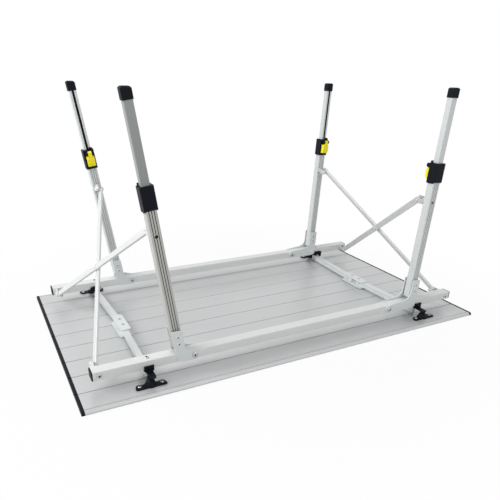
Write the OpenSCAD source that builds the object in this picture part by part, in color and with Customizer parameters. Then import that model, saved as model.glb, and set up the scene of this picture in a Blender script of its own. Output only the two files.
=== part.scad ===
// Folding camping table with a slatted top, standing on its top face with the legs up.
// X runs along the length, Y across the width, Z up; the origin is under the middle of the top.

/* [Top] */
// Length of the top along X, with its end caps
top_length = 1216; // [1116:10:1416]
// Width of the top along Y
top_width = 700; // [660:10:800]
// Thickness of the top
top_thickness = 11; // [10:0.5:12]
// Number of slats across the width
slat_count = 9; // [7:1:11]
// Wall of the slat extrusion
slat_wall = 1.5; // [1.2:0.1:2]

/* [Rails] */
// Distance of each rail centre line from the middle
rail_offset = 270; // [240:5:290]
// Rail width along Y
rail_width = 30; // [26:1:32]
// Rail height along Z
rail_height = 23; // [20:1:26]
// Height of the rail centre line above the top face
rail_level = 54; // [53:0.5:58]
// Length of each rail without its caps
rail_length = 1128; // [1100:4:1180]
// Wall of the rail tube
rail_wall = 1.8; // [1.2:0.1:2.4]

/* [Legs] */
// Height of the foot soles above the top face
foot_level = 655; // [620:5:700]
// Distance of the leg pivots from the middle along X
leg_pivot = 314; // [300:2:330]
// Outboard offset of a left leg at its pivot height
left_leg_offset = 34.4; // [33:0.2:40]
// Outward lean of a left leg
left_leg_lean = 8.4; // [4:0.1:10]
// Outboard offset of a right leg at its pivot height
right_leg_offset = 89.8; // [84:0.2:92]
// Outward lean of a right leg
right_leg_lean = 2.3; // [1:0.1:6]
// Outer leg tube size along the table
outer_tube_x = 25; // [24:0.5:27]
// Outer leg tube size across the table
outer_tube_y = 23; // [22:0.5:26]
// Wall of the outer leg tube
outer_tube_wall = 1.8; // [1.6:0.1:2]
// Inner leg tube size along the table
inner_tube_x = 19.4; // [18:0.2:19.6]
// Inner leg tube size across the table
inner_tube_y = 18; // [17:0.5:18]
// Wall of the inner leg tube
inner_tube_wall = 1.4; // [1:0.1:1.8]
// Travel of the inner tube into the outer tube
leg_travel = 150; // [100:5:150]
// How far the rear inner tubes are pushed in at rest
rear_leg_push = 7; // [0:1:12]

/* [Cross bars] */
// Distance of the cross bar pivots from the middle along X
bar_pivot = 432; // [420:2:440]
// Distance between the two rivets of the middle hinge
hinge_rivet_gap = 36; // [32:1:40]
// Inward bend of each half of a cross bar at rest
bar_bend = 2.5; // [0:0.1:4]
// Cross bar width
bar_width = 15; // [13:0.5:17]
// Cross bar height
bar_height = 16.5; // [15:0.5:16.5]

/* [Braces] */
// Distance of the rail end bolts from the middle along X
brace_bolt = 549; // [540:1:552]
// Height of the leg end of each brace
brace_level = 362; // [340:2:380]
// Distance from a rail centre line to the brace pins
brace_pin_inset = 41; // [38:0.5:44]
// Brace width in the plane of the scissor
brace_width = 18; // [16:0.5:20]
// Brace thickness along its pins
brace_thickness = 6; // [4.5:0.5:6.2]

/* [Output] */
// Which node to build, or all of them

/* [Hidden] */
$fn = 48;

// Clearances
run_gap = 0.08;
face_gap = 0.3;
overlap = 0.4;

// Top
cap_thickness = 8;
slat_pitch = top_width / slat_count;
slat_seam = 1.4;
slat_length = top_length - 2 * cap_thickness;
slat_bevel = 1;
tongue_reach = 3;
tongue_height = 2.6;
chamber_count = 3;
nose_groove = 2;
plug_length = 9;

// Stud bases and saddles
stud_row = bar_pivot + 5;
stud_offset = rail_offset + 37;
stud_plate = [78, 20, 3.5];
stud_plate_shift = 3;
stud_ear_pitch = 27.5;
stud_foot_radius = 14;
stud_top_radius = 8.5;
stud_top_level = 34;
saddle_length = 24;
saddle_wall = 4.5;
saddle_jaw_rise = 9;
saddle_lip_width = 17;
saddle_stop = [10, saddle_wall, 6];

// Levels through the height
rail_bottom = rail_level - rail_height / 2;
rail_top = rail_level + rail_height / 2;
saddle_web = 5.5;
saddle_bottom = rail_bottom - saddle_web;
bar_top = saddle_bottom - 4.2;
bar_bottom = bar_top - bar_height;
hinge_plate_thickness = 3;
hinge_plate_length = 103;
hinge_plate_widths = [28, 38];
hinge_plate_corner = 9;
hinge_rivet_radius = 3;
half_bar_length = (rail_offset - hinge_rivet_gap / 2) / cos(bar_bend);
hinge_offset = bar_pivot - half_bar_length * sin(bar_bend);
bar_groove_depth = 3;
bar_groove_height = 8;

// Bolts
pivot_bolt_radius = 4;
end_bolt_radius = 3;
bar_screw_radius = 3;
bolt_head_height = 2.6;

// Leg brackets
cheek_thickness = 3;
cheek_inner = rail_width / 2 + face_gap;
cheek_outer = cheek_inner + cheek_thickness;
cheek_foot_radius = 12.5;
cheek_side = 13.5;
bracket_rivet_radius = 3;
rivet_bore = 1.9;

// Leg tubes, all measured down from the sole
foot_length = 24;
collar_length = 54;
collar_start = foot_length + leg_travel + 13;
outer_start = collar_start + 9;
outer_end = 580;
inner_start = 5;
inner_end = outer_start + 69;
inner_slot = 6.4;
tube_groove_width = 1.8;
tube_groove_depth = 0.9;
tube_groove_pitch = 5.8;
collar_x = outer_tube_x + 6.5;
collar_y = outer_tube_y + 6;
collar_tab = [9, 4, 5];
foot_x = inner_tube_x + 3.6;
foot_y = inner_tube_y + 3.6;
lever_pin_drop = 8.5;
lever_pin_stand = 9;
lever_pin_radius = 1.5;
lever_eye_radius = 5.2;
lever_ear_radius = 6;
lever_ear_thickness = 4;
lever_width = 20;
lever_neck = 11;
lever_paddle_drop = 8.5;
lever_length = 36.5;
lever_reach = 14;
lever_wall = 2.2;

// Braces
brace_gap = 0.2;
brace_pin_radius = 2.5;
brace_pin_row = rail_offset - brace_pin_inset;
clevis_inner = brace_thickness + brace_gap + 0.4;
clevis_wall = 2;
clevis_half = clevis_inner + clevis_wall;
clevis_height = 16;
clevis_base = 3;
clevis_start = rail_width / 2 + face_gap;
stud_flange_radius = 9;

metal_pale = [0.84, 0.85, 0.84];
metal_light = [0.9, 0.91, 0.91];
metal_grey = [0.62, 0.63, 0.61];
plastic_dark = [0.1, 0.11, 0.13];
lever_yellow = [0.98, 0.86, 0.08];
bolt_steel = [0.7, 0.71, 0.72];

function leg_offset(side) = side < 0 ? left_leg_offset : right_leg_offset;
function leg_lean(side) = side < 0 ? left_leg_lean : right_leg_lean;
function leg_push(row) = row > 0 ? rear_leg_push : 0;
function bracket_rise(side) = side < 0 ? 74 : 78;
function bracket_rivets(side) = side < 0 ? [39, 57] : [44, 62];
function sole_reach(side) = (foot_level - rail_level) / cos(leg_lean(side));
function brace_rise() = brace_level - rail_level;
function brace_leg_x(side) = leg_pivot + leg_offset(side) + tan(leg_lean(side)) * brace_rise();
function brace_run(side) = brace_bolt - brace_leg_x(side);
function plane_tilt(side) = -side * atan2(brace_run(side), brace_rise());
function plane_height(side) = sqrt(pow(brace_run(side), 2) + pow(brace_rise(), 2));
function brace_length(side) = sqrt(pow(plane_height(side), 2) + pow(2 * brace_pin_row, 2));
function brace_slope(side) = atan2(plane_height(side), 2 * brace_pin_row);

// Shared helpers

module flip_x(on) {
    if (on) mirror([1, 0, 0]) children();
    else children();
}

module flip_y(on) {
    if (on) mirror([0, 1, 0]) children();
    else children();
}

// Extrudes a Y-Z outline along X, centred on X.
module along_x(length) {
    translate([-length / 2, 0, 0])
        rotate([90, 0, 90])
            linear_extrude(length) children();
}

// Extrudes an X-Z outline along Y from one level to another.
module across_y(from, to) {
    translate([0, to, 0])
        rotate([90, 0, 0])
            linear_extrude(to - from) children();
}

module rod_y(radius, from, to) {
    translate([0, to, 0])
        rotate([90, 0, 0])
            cylinder(r = radius, h = to - from);
}

module rod_x(radius, from, to) {
    translate([from, 0, 0])
        rotate([0, 90, 0])
            cylinder(r = radius, h = to - from);
}

module rod_z(radius, from, to) {
    translate([0, 0, from])
        cylinder(r = radius, h = to - from);
}

// Rectangle with bevelled corners, centred.
module bevelled(size_x, size_y, bevel) {
    half_x = size_x / 2;
    half_y = size_y / 2;
    polygon([
        [-half_x + bevel, -half_y],
        [half_x - bevel, -half_y],
        [half_x, -half_y + bevel],
        [half_x, half_y - bevel],
        [half_x - bevel, half_y],
        [-half_x + bevel, half_y],
        [-half_x, half_y - bevel],
        [-half_x, -half_y + bevel]
    ]);
}

// Rectangle with round corners, centred.
module rounded(size_x, size_y, radius) {
    square([size_x - 2 * radius, size_y], center = true);
    square([size_x, size_y - 2 * radius], center = true);
    for (ix = [-1, 1], iy = [-1, 1])
        translate([ix * (size_x / 2 - radius), iy * (size_y / 2 - radius)])
            circle(radius);
}

// Low round bolt head that stands up from Z = 0, with a bevelled rim.
module bolt_head(radius) {
    rotate_extrude()
        polygon([
            [0, 0],
            [radius, 0],
            [radius, bolt_head_height * 0.45],
            [radius * 0.72, bolt_head_height],
            [0, bolt_head_height]
        ]);
}

// Low round rivet head with a bored middle, standing up from Z = 0.
module rivet_head(radius) {
    rotate_extrude()
        polygon([
            [rivet_bore, 0],
            [radius, 0],
            [radius - 0.3, 0.9],
            [radius - 1.3, 1.6],
            [rivet_bore + 0.4, 1.6],
            [rivet_bore, 1.2]
        ]);
}

// Top made of slats

module slat_body_outline(front_nose, rear_nose) {
    left_edge = front_nose ? 0 : slat_seam / 2;
    right_edge = rear_nose ? slat_pitch : slat_pitch - slat_seam / 2;
    left_bevel = front_nose ? top_thickness * 0.36 : slat_bevel;
    right_bevel = rear_nose ? top_thickness * 0.36 : slat_bevel;
    polygon([
        [left_edge + left_bevel, 0],
        [right_edge - right_bevel, 0],
        [right_edge, right_bevel],
        [right_edge, top_thickness - right_bevel],
        [right_edge - right_bevel, top_thickness],
        [left_edge + left_bevel, top_thickness],
        [left_edge, top_thickness - left_bevel],
        [left_edge, left_bevel]
    ]);
}

module chamber_row(shrink) {
    inside = slat_pitch - slat_seam - 2 * 6 - (chamber_count - 1) * slat_wall;
    chamber = inside / chamber_count;
    for (i = [0 : chamber_count - 1])
        translate([slat_seam / 2 + 6 + i * (chamber + slat_wall) + shrink, slat_wall + shrink])
            square([chamber - 2 * shrink, top_thickness - 2 * slat_wall - 2 * shrink]);
}

module slat_outline(front_nose, rear_nose) {
    tongue_z = (top_thickness - tongue_height) / 2;
    difference() {
        union() {
            slat_body_outline(front_nose, rear_nose);
            if (!rear_nose)
                translate([slat_pitch - slat_seam / 2 - overlap, tongue_z])
                    square([tongue_reach + overlap, tongue_height]);
        }
        if (!front_nose)
            translate([0, tongue_z - face_gap])
                square([tongue_reach + 1, tongue_height + 2 * face_gap]);
        if (front_nose)
            translate([slat_seam / 2 + 9, top_thickness - nose_groove / 2])
                square([nose_groove, nose_groove]);
        if (rear_nose)
            translate([slat_pitch - slat_seam / 2 - 9 - nose_groove, top_thickness - nose_groove / 2])
                square([nose_groove, nose_groove]);
        chamber_row(0);
    }
}

module slat(index) {
    translate([0, -top_width / 2 + index * slat_pitch, 0])
        along_x(slat_length)
            slat_outline(index == 0, index == slat_count - 1);
}

module slat_front() {
    color(metal_pale) slat(0);
}

module slats_middle() {
    color(metal_pale)
        for (i = [1 : slat_count - 2]) slat(i);
}

module slat_rear() {
    color(metal_pale) slat(slat_count - 1);
}

// One plug-in end cap for each slat.
module slat_caps(side) {
    color(plastic_dark)
        for (i = [0 : slat_count - 1])
            translate([side * (top_length - cap_thickness) / 2, -top_width / 2 + i * slat_pitch, 0]) {
                along_x(cap_thickness)
                    slat_body_outline(i == 0, i == slat_count - 1);
                translate([-side * (cap_thickness + plug_length - overlap) / 2, 0, 0])
                    along_x(plug_length)
                        chamber_row(face_gap);
            }
}

module slat_caps_left() {
    slat_caps(-1);
}

module slat_caps_right() {
    slat_caps(1);
}

// Studs that the frame clips on

// Plate with a straight outer edge and an ear at each end; local Y points to the table's edge.
module stud_base_outline() {
    half_x = stud_plate.x / 2;
    edge = stud_plate_shift + stud_plate.y / 2;
    inner = stud_plate_shift - stud_plate.y / 2;
    for (ix = [-1, 1])
        translate([ix * stud_ear_pitch, stud_plate_shift])
            circle(stud_plate.y / 2 - 0.5);
    circle(stud_foot_radius + 1);
    polygon([
        [-half_x + 4, edge],
        [half_x - 4, edge],
        [half_x, edge - 4],
        [half_x - 4, inner + 6],
        [14, inner + 2],
        [-14, inner + 2],
        [-half_x + 4, inner + 6],
        [-half_x, edge - 4]
    ]);
}

module stud_base() {
    difference() {
        union() {
            linear_extrude(stud_plate.z)
                stud_base_outline();
            rotate_extrude()
                polygon([
                    [0, 0],
                    [stud_foot_radius, 0],
                    [stud_foot_radius, stud_plate.z],
                    [stud_foot_radius - 2, stud_plate.z + 5],
                    [stud_top_radius + 1.5, stud_plate.z + 10],
                    [stud_top_radius - 2, stud_plate.z + 13],
                    [stud_top_radius - 2, stud_plate.z + 15.5],
                    [stud_top_radius, stud_plate.z + 17],
                    [stud_top_radius, stud_top_level - top_thickness - 1],
                    [stud_top_radius - 1, stud_top_level - top_thickness],
                    [0, stud_top_level - top_thickness]
                ]);
        }
        for (ix = [-1, 1])
            translate([ix * stud_ear_pitch, stud_plate_shift, 0])
                rod_z(2.6, -1, stud_plate.z + 1);
    }
}

module each_stud() {
    for (side = [-1, 1], row = [-1, 1])
        translate([side * stud_row, row * stud_offset, top_thickness])
            flip_y(row < 0) children();
}

module stud_bases() {
    color(plastic_dark) each_stud() stud_base();
}

module base_screws() {
    color(bolt_steel)
        each_stud()
            for (ix = [-1, 1])
                translate([ix * stud_ear_pitch, stud_plate_shift, stud_plate.z]) {
                    scale(0.8) bolt_head(5.5);
                    rod_z(2.4, -stud_plate.z, overlap);
                }
}

// Rails

module rail_outline() {
    difference() {
        bevelled(rail_width, rail_height, 1.2);
        bevelled(rail_width - 2 * rail_wall, rail_height - 2 * rail_wall, 0.6);
    }
}

module rail(row) {
    difference() {
        translate([0, row * rail_offset, rail_level])
            along_x(rail_length) rail_outline();
        for (side = [-1, 1]) {
            translate([side * leg_pivot, row * rail_offset, rail_level])
                rod_y(pivot_bolt_radius + run_gap, -rail_width, rail_width);
            translate([side * brace_bolt, row * rail_offset, rail_level])
                rod_y(end_bolt_radius + run_gap, -rail_width, rail_width);
            translate([side * bar_pivot, row * rail_offset, rail_level])
                rod_z(bar_screw_radius + run_gap, -rail_height, rail_height);
        }
    }
}

module rail_rear() {
    color(metal_pale) rail(1);
}

module rail_front() {
    color(metal_pale) rail(-1);
}

module rail_caps(row) {
    plug_y = rail_width - 2 * rail_wall - 2 * face_gap;
    plug_z = rail_height - 2 * rail_wall - 2 * face_gap;
    color(plastic_dark)
        for (side = [-1, 1])
            translate([side * rail_length / 2, row * rail_offset, rail_level]) {
                translate([side * 1.5, 0, 0])
                    along_x(3) bevelled(rail_width, rail_height, 1.8);
                translate([side * -4, 0, 0])
                    along_x(8 + overlap) bevelled(plug_y, plug_z, 1);
            }
}

module rail_caps_rear() {
    rail_caps(1);
}

module rail_caps_front() {
    rail_caps(-1);
}

// Two leg pivot bolts, two brace bolts and two cross bar screws on one rail.
module rail_bolts(row) {
    color(bolt_steel)
        for (side = [-1, 1])
            translate([0, row * rail_offset, rail_level])
                flip_y(row < 0) {
                    translate([side * leg_pivot, 0, 0]) {
                        rod_y(pivot_bolt_radius, -cheek_outer - 0.6, cheek_outer + 0.6);
                        for (end = [-1, 1])
                            translate([0, end * (cheek_outer + face_gap), 0])
                                rotate([-90 * end, 0, 0]) bolt_head(7.5);
                    }
                    translate([side * brace_bolt, 0, 0]) {
                        rod_y(end_bolt_radius, -clevis_start - clevis_base - 0.6, rail_width / 2 + 0.6);
                        translate([0, rail_width / 2, 0])
                            rotate([-90, 0, 0]) bolt_head(6);
                        translate([0, -clevis_start - clevis_base - face_gap, 0])
                            rotate([90, 0, 0]) bolt_head(5);
                    }
                    translate([side * bar_pivot, 0, 0]) {
                        rod_z(bar_screw_radius, bar_bottom - rail_level - 0.6, rail_height / 2 + 0.6);
                        rod_z(6, bar_top + face_gap - rail_level, saddle_bottom - rail_level);
                        translate([0, 0, rail_height / 2])
                            bolt_head(6);
                        translate([0, 0, bar_bottom - rail_level - face_gap])
                            mirror([0, 0, 1]) bolt_head(6);
                    }
                }
}

module rail_bolts_rear() {
    rail_bolts(1);
}

module rail_bolts_front() {
    rail_bolts(-1);
}

// Black saddle under the rail with a jaw on each side, a lip over the stud and a stop
// on its outboard side that the cross bar rests against when it is spread.
module saddle(side) {
    half = rail_width / 2;
    jaw_top = saddle_jaw_rise + saddle_web;
    lip_reach = stud_offset - rail_offset + 5;
    lip_level = stud_top_level + face_gap - saddle_bottom;
    difference() {
        union() {
            along_x(saddle_length)
                polygon([
                    [-half - saddle_wall, 1.5],
                    [-half - saddle_wall + 1.5, 0],
                    [half + saddle_wall - 1.5, 0],
                    [half + saddle_wall, 1.5],
                    [half + saddle_wall, jaw_top - 1],
                    [half + saddle_wall - 1, jaw_top],
                    [half, jaw_top],
                    [half, saddle_web],
                    [-half, saddle_web],
                    [-half, jaw_top],
                    [-half - saddle_wall + 1, jaw_top],
                    [-half - saddle_wall, jaw_top - 1]
                ]);
            translate([-saddle_lip_width / 2, half + 1, lip_level])
                cube([saddle_lip_width, lip_reach - half - 1, 3.2]);
            translate([0, lip_reach, lip_level])
                rod_z(saddle_lip_width / 2, 0, 3.2);
            translate([-4, half + 1, lip_level + 1])
                cube([8, 11, 7]);
            stop_near = bar_width / 2 + 1;
            stop_x = side > 0 ? stop_near : -stop_near - saddle_stop.x;
            translate([stop_x, -half - saddle_wall, -saddle_stop.z])
                cube([saddle_stop.x, saddle_stop.y, saddle_stop.z + jaw_top - 2]);
        }
        rod_z(bar_screw_radius + run_gap, -1, saddle_web + 1);
    }
}

module saddles(row) {
    color(plastic_dark)
        for (side = [-1, 1])
            translate([side * bar_pivot, row * rail_offset, saddle_bottom])
                flip_y(row < 0) saddle(side);
}

module saddles_rear() {
    saddles(1);
}

module saddles_front() {
    saddles(-1);
}

// Cross bars that fold at their middle hinge

module bar_outline() {
    half_w = bar_width / 2;
    half_h = bar_height / 2;
    half_g = bar_groove_height / 2;
    waist = half_w - bar_groove_depth;
    polygon([
        [-half_w, -half_h],
        [half_w, -half_h],
        [half_w, -half_g],
        [waist, -half_g],
        [waist, half_g],
        [half_w, half_g],
        [half_w, half_h],
        [-half_w, half_h],
        [-half_w, half_g],
        [-waist, half_g],
        [-waist, -half_g],
        [-half_w, -half_g]
    ]);
}

module half_bar(side, row, outer_gap) {
    span = half_bar_length;
    color(metal_pale)
        flip_x(side < 0)
            flip_y(row < 0)
                translate([bar_pivot, rail_offset, bar_bottom])
                    rotate([0, 0, -bar_bend])
                        difference() {
                            union() {
                                translate([0, -10, bar_height / 2])
                                    rotate([90, 0, 0])
                                        linear_extrude(span - 20) bar_outline();
                                for (end = [-span, 0])
                                    translate([0, end, 0]) rod_z(bar_width / 2, 0, bar_height);
                                for (end = [-span, -12])
                                    translate([-bar_width / 2, end, 0])
                                        cube([bar_width, 12, bar_height]);
                            }
                            translate([0, -span, 0])
                                rod_z(hinge_rivet_radius + run_gap, -1, bar_height + 1);
                            rod_z(bar_screw_radius + outer_gap, -1, bar_height + 1);
                        }
}

module half_bar_left_rear() {
    half_bar(-1, 1, run_gap);
}

module half_bar_left_front() {
    half_bar(-1, -1, run_gap);
}

module half_bar_right_rear() {
    half_bar(1, 1, run_gap);
}

module half_bar_right_front() {
    half_bar(1, -1, 0.5);
}

module each_hinge_rivet(side) {
    for (row = [-1, 1])
        translate([side * hinge_offset, row * hinge_rivet_gap / 2, 0]) children();
}

// Upper plate, and a wider one under the bars.
module hinge_plates(side) {
    levels = [bar_top + face_gap, bar_bottom - face_gap - hinge_plate_thickness];
    color(metal_light)
        difference() {
            for (i = [0, 1])
                translate([side * hinge_offset, 0, levels[i]])
                    linear_extrude(hinge_plate_thickness)
                        rounded(hinge_plate_widths[i], hinge_plate_length, hinge_plate_corner);
            each_hinge_rivet(side)
                rod_z(hinge_rivet_radius, 0, rail_top);
        }
}

module hinge_plates_left() {
    hinge_plates(-1);
}

module hinge_plates_right() {
    hinge_plates(1);
}

module hinge_rivets(side) {
    top_face = bar_top + face_gap + hinge_plate_thickness;
    under_face = bar_bottom - face_gap - hinge_plate_thickness;
    color(bolt_steel)
        each_hinge_rivet(side) {
            rod_z(hinge_rivet_radius, under_face - 0.2, top_face + 0.2);
            translate([0, 0, top_face]) rivet_head(5);
            translate([0, 0, under_face]) mirror([0, 0, 1]) scale(0.6) rivet_head(6);
        }
}

module hinge_rivets_left() {
    hinge_rivets(-1);
}

module hinge_rivets_right() {
    hinge_rivets(1);
}

// Legs. The pivot frame has its origin on the pivot, X outboard, Y to the outer face, Z up.

module at_pivot(side, row) {
    translate([side * leg_pivot, row * rail_offset, rail_level])
        flip_x(side < 0)
            flip_y(row < 0) children();
}

// Leg frame: Z along the leg with its zero at the sole, so all tube levels are negative.
module at_leg(side, row) {
    at_pivot(side, row) in_leg(side) children();
}

module in_leg(side) {
    translate([leg_offset(side), 0, 0])
        rotate([0, leg_lean(side), 0])
            translate([0, 0, sole_reach(side)]) children();
}

// Cheek plate: as wide as the tube at its top, curving into an arm that ends round the pivot.
module cheek_outline(side) {
    shift = leg_offset(side);
    lean = tan(leg_lean(side));
    rise = bracket_rise(side);
    tube_in = shift - cheek_side;
    tube_out = shift + cheek_side;
    elbow = side < 0 ? 20 : 15;
    fillet = side < 0 ? 14 : 25;
    elbow_z = -cheek_foot_radius + elbow;
    fillet_z = cheek_foot_radius + fillet + (side < 0 ? 3 : 5);
    circle(cheek_foot_radius);
    translate([tube_out - elbow, elbow_z])
        intersection() {
            circle(elbow);
            translate([0, -elbow]) square(elbow);
        }
    difference() {
        polygon([
            [0, -cheek_foot_radius],
            [tube_out - elbow, -cheek_foot_radius],
            [tube_out, elbow_z],
            [tube_out + lean * (rise - 2), rise - 2],
            [tube_out + lean * rise - 2, rise],
            [tube_in + lean * rise + 2, rise],
            [tube_in + lean * (rise - 2), rise - 2],
            [tube_in + lean * fillet_z, fillet_z],
            [tube_in - fillet * 0.9, fillet_z - fillet],
            [0, cheek_foot_radius]
        ]);
        translate([tube_in + lean * fillet_z - fillet, fillet_z + 0.5]) circle(fillet);
    }
}

module bracket(side, row) {
    color(metal_light)
        at_pivot(side, row) {
            difference() {
                for (low = [-cheek_outer, cheek_inner])
                    across_y(low, low + cheek_thickness)
                        cheek_outline(side);
                rod_y(pivot_bolt_radius + run_gap, -rail_width, rail_width);
            }
            for (level = bracket_rivets(side))
                translate([leg_offset(side) + tan(leg_lean(side)) * level, 0, level]) {
                    rod_y(bracket_rivet_radius, -cheek_outer - 0.2, cheek_outer + 0.2);
                    for (end = [-1, 1]) {
                        translate([0, end * (cheek_outer - 0.1), 0])
                            rotate([-90 * end, 0, 0])
                                rivet_head(5.2);
                        low = end < 0 ? -cheek_inner - overlap : outer_tube_y / 2;
                        high = end < 0 ? -outer_tube_y / 2 : cheek_inner + overlap;
                        rod_y(7, low, high);
                    }
                }
        }
}

module outer_tube_outline() {
    difference() {
        bevelled(outer_tube_x, outer_tube_y, 1.4);
        bevelled(outer_tube_x - 2 * outer_tube_wall, outer_tube_y - 2 * outer_tube_wall, 0.5);
        for (face = [-1, 1], step = [-1, 0, 1])
            translate([step * tube_groove_pitch, face * outer_tube_y / 2])
                square([tube_groove_width, 2 * tube_groove_depth], center = true);
    }
}

module outer_tube(side, row) {
    stud_level = (brace_level - foot_level) / cos(leg_lean(side));
    color(metal_pale)
        at_leg(side, row) {
            difference() {
                translate([0, 0, -outer_end])
                    linear_extrude(outer_end - outer_start) outer_tube_outline();
                for (level = bracket_rivets(side))
                    translate([0, 0, level / cos(leg_lean(side)) - sole_reach(side)])
                        rod_y(bracket_rivet_radius + run_gap, -rail_width, rail_width);
                translate([0, 0, stud_level])
                    rod_y(4, outer_tube_y / 2 - 3, rail_width);
            }
            translate([0, 0, stud_level]) {
                rod_y(stud_flange_radius, -rail_width / 2, -outer_tube_y / 2 + tube_groove_depth + 0.3);
                rod_y(3.5, -outer_tube_y / 2 - 0.5, -outer_tube_y / 2 + outer_tube_wall + 0.3);
            }
        }
}

// Collar: a sleeve on the outer tube with a closer mouth around the inner tube.
module collar(side, row) {
    tail = collar_length;
    face = collar_y / 2;
    pin_level = -collar_start - lever_pin_drop;
    tab_low = side * row > 0 ? inner_slot / 2 : -inner_slot / 2 - collar_tab.x;
    color(plastic_dark)
        at_leg(side, row) {
            difference() {
                intersection() {
                    translate([0, 0, -collar_start - tail])
                        linear_extrude(tail) rounded(collar_x, collar_y, 2.5);
                    along_x(collar_x + 2)
                        polygon([
                            [-face - 1, -collar_start - tail + 2],
                            [-face + 3, -collar_start - tail],
                            [face - 6, -collar_start - tail],
                            [face + 1, -collar_start - tail + 5],
                            [face + 1, -collar_start - 2.5],
                            [face - 1.5, -collar_start],
                            [-face + 1.5, -collar_start],
                            [-face - 1, -collar_start - 2.5]
                        ]);
                }
                translate([0, 0, -collar_start - tail - 1])
                    linear_extrude(tail - outer_start + collar_start + 1 + face_gap)
                        bevelled(outer_tube_x + 2 * run_gap, outer_tube_y + 2 * run_gap, 1.4);
                translate([0, 0, -outer_start - 1])
                    linear_extrude(outer_start - collar_start + 2)
                        bevelled(inner_tube_x + 2 * face_gap, inner_tube_y + 2 * face_gap, 1);
            }
            for (end = [-1, 1]) {
                inner = lever_neck / 2 + face_gap;
                translate([0, -face - lever_pin_stand, pin_level]) {
                    low = end < 0 ? -inner - lever_ear_thickness : inner;
                    rod_x(lever_ear_radius, low, low + lever_ear_thickness);
                    translate([low, 0, -lever_ear_radius])
                        cube([lever_ear_thickness, lever_pin_stand + overlap, 2 * lever_ear_radius]);
                }
            }
            translate([tab_low, -face, -collar_start - 8])
                cube([collar_tab.x, collar_tab.y, collar_tab.z + 8]);
            translate([0, -face - lever_pin_stand, pin_level])
                rod_x(lever_pin_radius, -lever_neck / 2 - 2, lever_neck / 2 + 2);
        }
}

// Yellow lock lever: a rounded eye and narrow neck on the pin, then a wider paddle with a
// hollow back. Its local Y points to the collar, whose face is one pin stand away.
module lever_profile(inset) {
    back = lever_pin_stand - face_gap;
    front = lever_pin_stand - lever_reach;
    polygon([
        [back + inset, -lever_paddle_drop - inset],
        [back + inset, -lever_length + inset],
        [front + 5 + inset, -lever_length + inset],
        [front + 0.6 + inset, -lever_length + 9],
        [front + inset, -lever_paddle_drop - 8],
        [front + 2 + inset, -lever_paddle_drop - inset]
    ]);
}

module lever(side, row) {
    pin_level = -collar_start - lever_pin_drop;
    color(lever_yellow)
        at_leg(side, row)
            translate([0, -collar_y / 2 - lever_pin_stand, pin_level])
                difference() {
                    union() {
                        rod_x(lever_eye_radius, -lever_neck / 2, lever_neck / 2);
                        translate([-lever_neck / 2, -lever_eye_radius, -lever_paddle_drop - 3])
                            cube([lever_neck, 2 * lever_eye_radius - 1, lever_paddle_drop + 3]);
                        along_x(lever_width) lever_profile(0);
                    }
                    along_x(lever_width - 2 * lever_wall) lever_profile(lever_wall);
                    rod_x(lever_pin_radius + run_gap, -lever_width, lever_width);
                }
}

module inner_tube(side, row) {
    color(metal_grey)
        at_leg(side, row)
            translate([0, 0, -inner_end - leg_push(row)])
                linear_extrude(inner_end - inner_start)
                    difference() {
                        bevelled(inner_tube_x, inner_tube_y, 1.2);
                        bevelled(
                            inner_tube_x - 2 * inner_tube_wall,
                            inner_tube_y - 2 * inner_tube_wall,
                            0.5
                        );
                        translate([-inner_slot / 2, -inner_tube_y])
                            square([inner_slot, inner_tube_y]);
                    }
}

// Foot cap cut level with the ground, with bevelled edges around the sole.
module foot(side, row) {
    push = leg_push(row);
    sole_z = foot_level - rail_level - push * cos(leg_lean(side));
    sole_x = leg_offset(side) + tan(leg_lean(side)) * sole_z;
    half = foot_x / 2;
    color(plastic_dark)
        at_pivot(side, row)
            difference() {
                intersection() {
                    in_leg(side)
                        translate([0, 0, -foot_length - push])
                            linear_extrude(foot_length + 6) rounded(foot_x, foot_y, 3);
                    across_y(-foot_y, foot_y)
                        polygon([
                            [sole_x - half - 12, sole_z - foot_length - 5],
                            [sole_x + half + 6, sole_z - foot_length - 5],
                            [sole_x + half + 6, sole_z - 9],
                            [sole_x + half - 5, sole_z],
                            [sole_x - half + 4, sole_z],
                            [sole_x - half - 3, sole_z - 5],
                            [sole_x - half - 12, sole_z - 14]
                        ]);
                    translate([sole_x, 0, 0])
                        along_x(4 * foot_x)
                            polygon([
                                [-foot_y / 2, sole_z - foot_length - 6],
                                [foot_y / 2, sole_z - foot_length - 6],
                                [foot_y / 2, sole_z - 3],
                                [foot_y / 2 - 3, sole_z],
                                [-foot_y / 2 + 3, sole_z],
                                [-foot_y / 2, sole_z - 3]
                            ]);
                }
                in_leg(side)
                    translate([0, 0, -foot_length - 1 - push])
                        linear_extrude(foot_length + 1 - inner_start + face_gap)
                            bevelled(inner_tube_x + 2 * run_gap, inner_tube_y + 2 * run_gap, 1.2);
            }
}

// Scissor braces. The plane frame has its origin at the rail bolts, Z towards the leg bolts,
// Y across the table and X along the brace pins.

module in_plane(side) {
    translate([side * brace_bolt, 0, rail_level])
        rotate([0, plane_tilt(side), 0]) children();
}

function brace_shift(row) = -row * (brace_thickness / 2 + brace_gap);

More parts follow.
